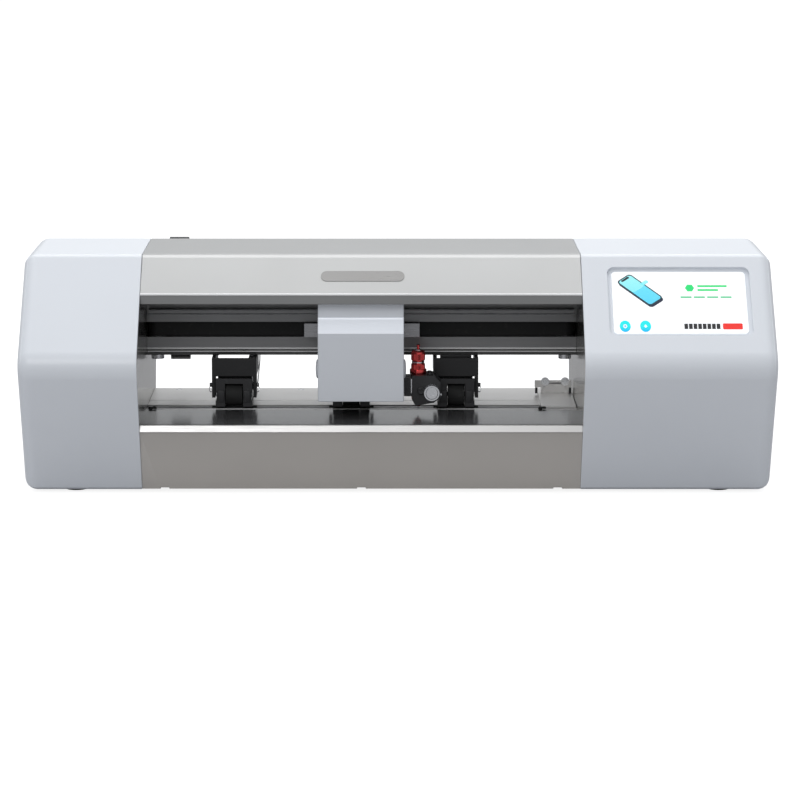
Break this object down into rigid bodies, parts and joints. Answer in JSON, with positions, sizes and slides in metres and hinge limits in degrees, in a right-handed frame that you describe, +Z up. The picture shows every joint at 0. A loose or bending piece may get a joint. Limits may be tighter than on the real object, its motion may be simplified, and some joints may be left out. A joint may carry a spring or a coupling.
{
  "type": "vinyl cutter",
  "caption": "Desktop vinyl and film cutter with a roller-fed bed, a sliding tool head on a beam, pinch wheels and a touch screen.",
  "frame": {"origin": "on the standing surface under the middle of the casing's width and depth", "axes": "+X to the user's right along the beam, +Y away from the user, +Z up"},
  "size_m": [0.52, 0.19, 0.164],
  "materials": {
    "cover_white": "smooth satin white paint",
    "cover_silver": "satin metallic silver",
    "head_grey": "satin cool grey",
    "panel_grey": "satin warm grey",
    "frame_steel": "brushed",
    "bed_aluminium": "brushed, anodised",
    "platen_dark": "anodised",
    "mat_black": "glossy glide sheet",
    "beam_grey": "dark anodised",
    "rail_steel": "ground",
    "screw_steel": "polished",
    "machined_silver": "machined",
    "bracket_dark": "black satin",
    "black_plastic": "fine grain",
    "motor_black": "black",
    "black_rubber": "matt",
    "spring_steel": "wire",
    "grit_steel": "turned",
    "grit_dark": "rough grit coating",
    "holder_red": "red anodised",
    "screen_glass": "lit screen under a clear pane",
    "board_green": "solder resist",
    "port_metal": "plated"
  },
  "bodies": {
    "machine_frame": {"base_plate": "frame_steel", "rubber_feet": "black_rubber", "left_end_cover": "cover_white", "right_end_cover": "cover_white", "top_cover": "cover_silver", "front_panel": "panel_grey", "rear_panel": "panel_grey", "left_side_frame": "frame_steel", "right_side_frame": "frame_steel", "edge_trim": "bed_aluminium", "front_platen": "platen_dark", "rear_platen": "bed_aluminium", "cutting_mat": "mat_black", "bed_cover_plate": "bed_aluminium", "bed_cover_screws": "screw_steel", "beam": "beam_grey", "linear_rail": "beam_grey", "carriage_belt": "black_rubber", "carriage_motor": "motor_black", "feed_motor": "motor_black", "feed_belt": "black_rubber", "roller_bearings": "rail_steel", "pinch_brackets": "black_plastic", "pivot_pins": "rail_steel", "pinch_springs": "spring_steel", "display_frame": "cover_white", "touch_screen": "screen_glass", "main_board": "board_green", "power_inlet": "black_plastic", "switch_body": "black_plastic", "usb_port": "port_metal"},
    "carriage": {"rail_block": "rail_steel", "carriage_plate": "bracket_dark", "belt_clamp": "machined_silver", "head_cover": "head_grey", "slide_frame": "bracket_dark", "guide_rods": "rail_steel", "lift_solenoid": "black_plastic"},
    "tool_slide": {"slide_block": "machined_silver", "tool_arm": "bracket_dark", "tool_clamp": "black_plastic", "clamp_screw": "rail_steel", "blade_holder": "holder_red"},
    "clamp_knob": {"clamp_knob": "screw_steel"},
    "blade": {"blade": "rail_steel"},
    "eject_pin": {"eject_pin": "rail_steel"},
    "feed_roller": {"feed_roller": "grit_steel", "grit_sleeves": "grit_dark", "roller_pulley": "machined_silver"},
    "feed_motor_pulley": {"feed_motor_pulley": "machined_silver"},
    "carriage_pulley": {"carriage_pulley": "machined_silver"},
    "idler_pulley": {"idler_pulley": "machined_silver"},
    "lift_shaft": {"lift_shaft": "rail_steel", "lift_lever": "black_plastic"},
    "pinch_arm_left": {"pinch_arm_left": "bracket_dark"},
    "pinch_arm_middle": {"pinch_arm_middle": "bracket_dark"},
    "pinch_arm_right": {"pinch_arm_right": "bracket_dark"},
    "pinch_wheel_left": {"pinch_wheel_left": "black_rubber"},
    "pinch_wheel_middle": {"pinch_wheel_middle": "black_rubber"},
    "pinch_wheel_right": {"pinch_wheel_right": "black_rubber"},
    "power_rocker": {"power_rocker": "black_plastic"}
  },
  "joints": [
    {"name": "carriage_slide", "type": "slide", "parent": "machine_frame", "child": "carriage", "axis": [1, 0, 0], "range_m": [-0.112, 0.094]},
    {"name": "tool_plunge", "type": "slide", "parent": "carriage", "child": "tool_slide", "axis": [0, 0, -1], "range_m": [0, 0.0025], "stiffness_N_per_m": 900, "springref_m": -0.003},
    {"name": "clamp_knob_turn", "type": "hinge", "parent": "tool_slide", "child": "clamp_knob", "pos_m": [0.024, -0.04, 0.0676], "axis": [0, -1, 0], "continuous": true},
    {"name": "blade_swivel", "type": "hinge", "parent": "tool_slide", "child": "blade", "pos_m": [0.0146, -0.025, 0.06], "axis": [0, 0, 1], "continuous": true},
    {"name": "eject_pin_press", "type": "slide", "parent": "tool_slide", "child": "eject_pin", "axis": [0, 0, -1], "range_m": [0, 0.0015], "stiffness_N_per_m": 150, "springref_m": -0.001},
    {"name": "feed_roller_spin", "type": "hinge", "parent": "machine_frame", "child": "feed_roller", "pos_m": [0, -0.0035, 0.0453], "axis": [1, 0, 0], "continuous": true},
    {"name": "feed_motor_spin", "type": "hinge", "parent": "machine_frame", "child": "feed_motor_pulley", "pos_m": [0.138, 0.0385, 0.049], "axis": [1, 0, 0], "continuous": true},
    {"name": "carriage_motor_spin", "type": "hinge", "parent": "machine_frame", "child": "carriage_pulley", "pos_m": [-0.171, 0.0115, 0.104], "axis": [0, 0, 1], "continuous": true},
    {"name": "idler_spin", "type": "hinge", "parent": "machine_frame", "child": "idler_pulley", "pos_m": [0.1199, 0.0115, 0.104], "axis": [0, 0, 1], "continuous": true},
    {"name": "lift_lever_swing", "type": "hinge", "parent": "machine_frame", "child": "lift_shaft", "pos_m": [-0.16, 0.062, 0.082], "axis": [-1, 0, 0], "range_deg": [0, 50]},
    {"name": "pinch_lift_left", "type": "hinge", "parent": "machine_frame", "child": "pinch_arm_left", "pos_m": [-0.1158, 0.03, 0.075], "axis": [-1, 0, 0], "range_deg": [0, 7], "deforming": ["pinch_springs"]},
    {"name": "pinch_lift_middle", "type": "hinge", "parent": "machine_frame", "child": "pinch_arm_middle", "pos_m": [-0.0326, 0.03, 0.075], "axis": [-1, 0, 0], "range_deg": [0, 7]},
    {"name": "pinch_lift_right", "type": "hinge", "parent": "machine_frame", "child": "pinch_arm_right", "pos_m": [0.0418, 0.03, 0.075], "axis": [-1, 0, 0], "range_deg": [0, 7]},
    {"name": "pinch_wheel_spin_left", "type": "hinge", "parent": "pinch_arm_left", "child": "pinch_wheel_left", "pos_m": [-0.1158, -0.0035, 0.05985], "axis": [1, 0, 0], "continuous": true},
    {"name": "pinch_wheel_spin_middle", "type": "hinge", "parent": "pinch_arm_middle", "child": "pinch_wheel_middle", "pos_m": [-0.0326, -0.0035, 0.05985], "axis": [1, 0, 0], "continuous": true},
    {"name": "pinch_wheel_spin_right", "type": "hinge", "parent": "pinch_arm_right", "child": "pinch_wheel_right", "pos_m": [0.0418, -0.0035, 0.05985], "axis": [1, 0, 0], "continuous": true},
    {"name": "power_rocker_tilt", "type": "hinge", "parent": "machine_frame", "child": "power_rocker", "pos_m": [0.0325, 0.0695, 0.024], "axis": [0, 0, 1], "range_deg": [0, 12]}
  ],
  "couplings": [
    {"joint": "carriage_motor_spin", "follows": "carriage_slide", "rad_per_m": 173.91},
    {"joint": "idler_spin", "follows": "carriage_slide", "rad_per_m": 173.91},
    {"joint": "feed_motor_spin", "follows": "feed_roller_spin", "ratio": 2.1852},
    {"joint": "pinch_wheel_spin_left", "follows": "feed_roller_spin", "ratio": -0.7273},
    {"joint": "pinch_wheel_spin_middle", "follows": "feed_roller_spin", "ratio": -0.7273},
    {"joint": "pinch_wheel_spin_right", "follows": "feed_roller_spin", "ratio": -0.7273},
    {"joint": "pinch_lift_left", "follows": "lift_lever_swing", "ratio": 0.14},
    {"joint": "pinch_lift_middle", "follows": "lift_lever_swing", "ratio": 0.14},
    {"joint": "pinch_lift_right", "follows": "lift_lever_swing", "ratio": 0.14}
  ]
}
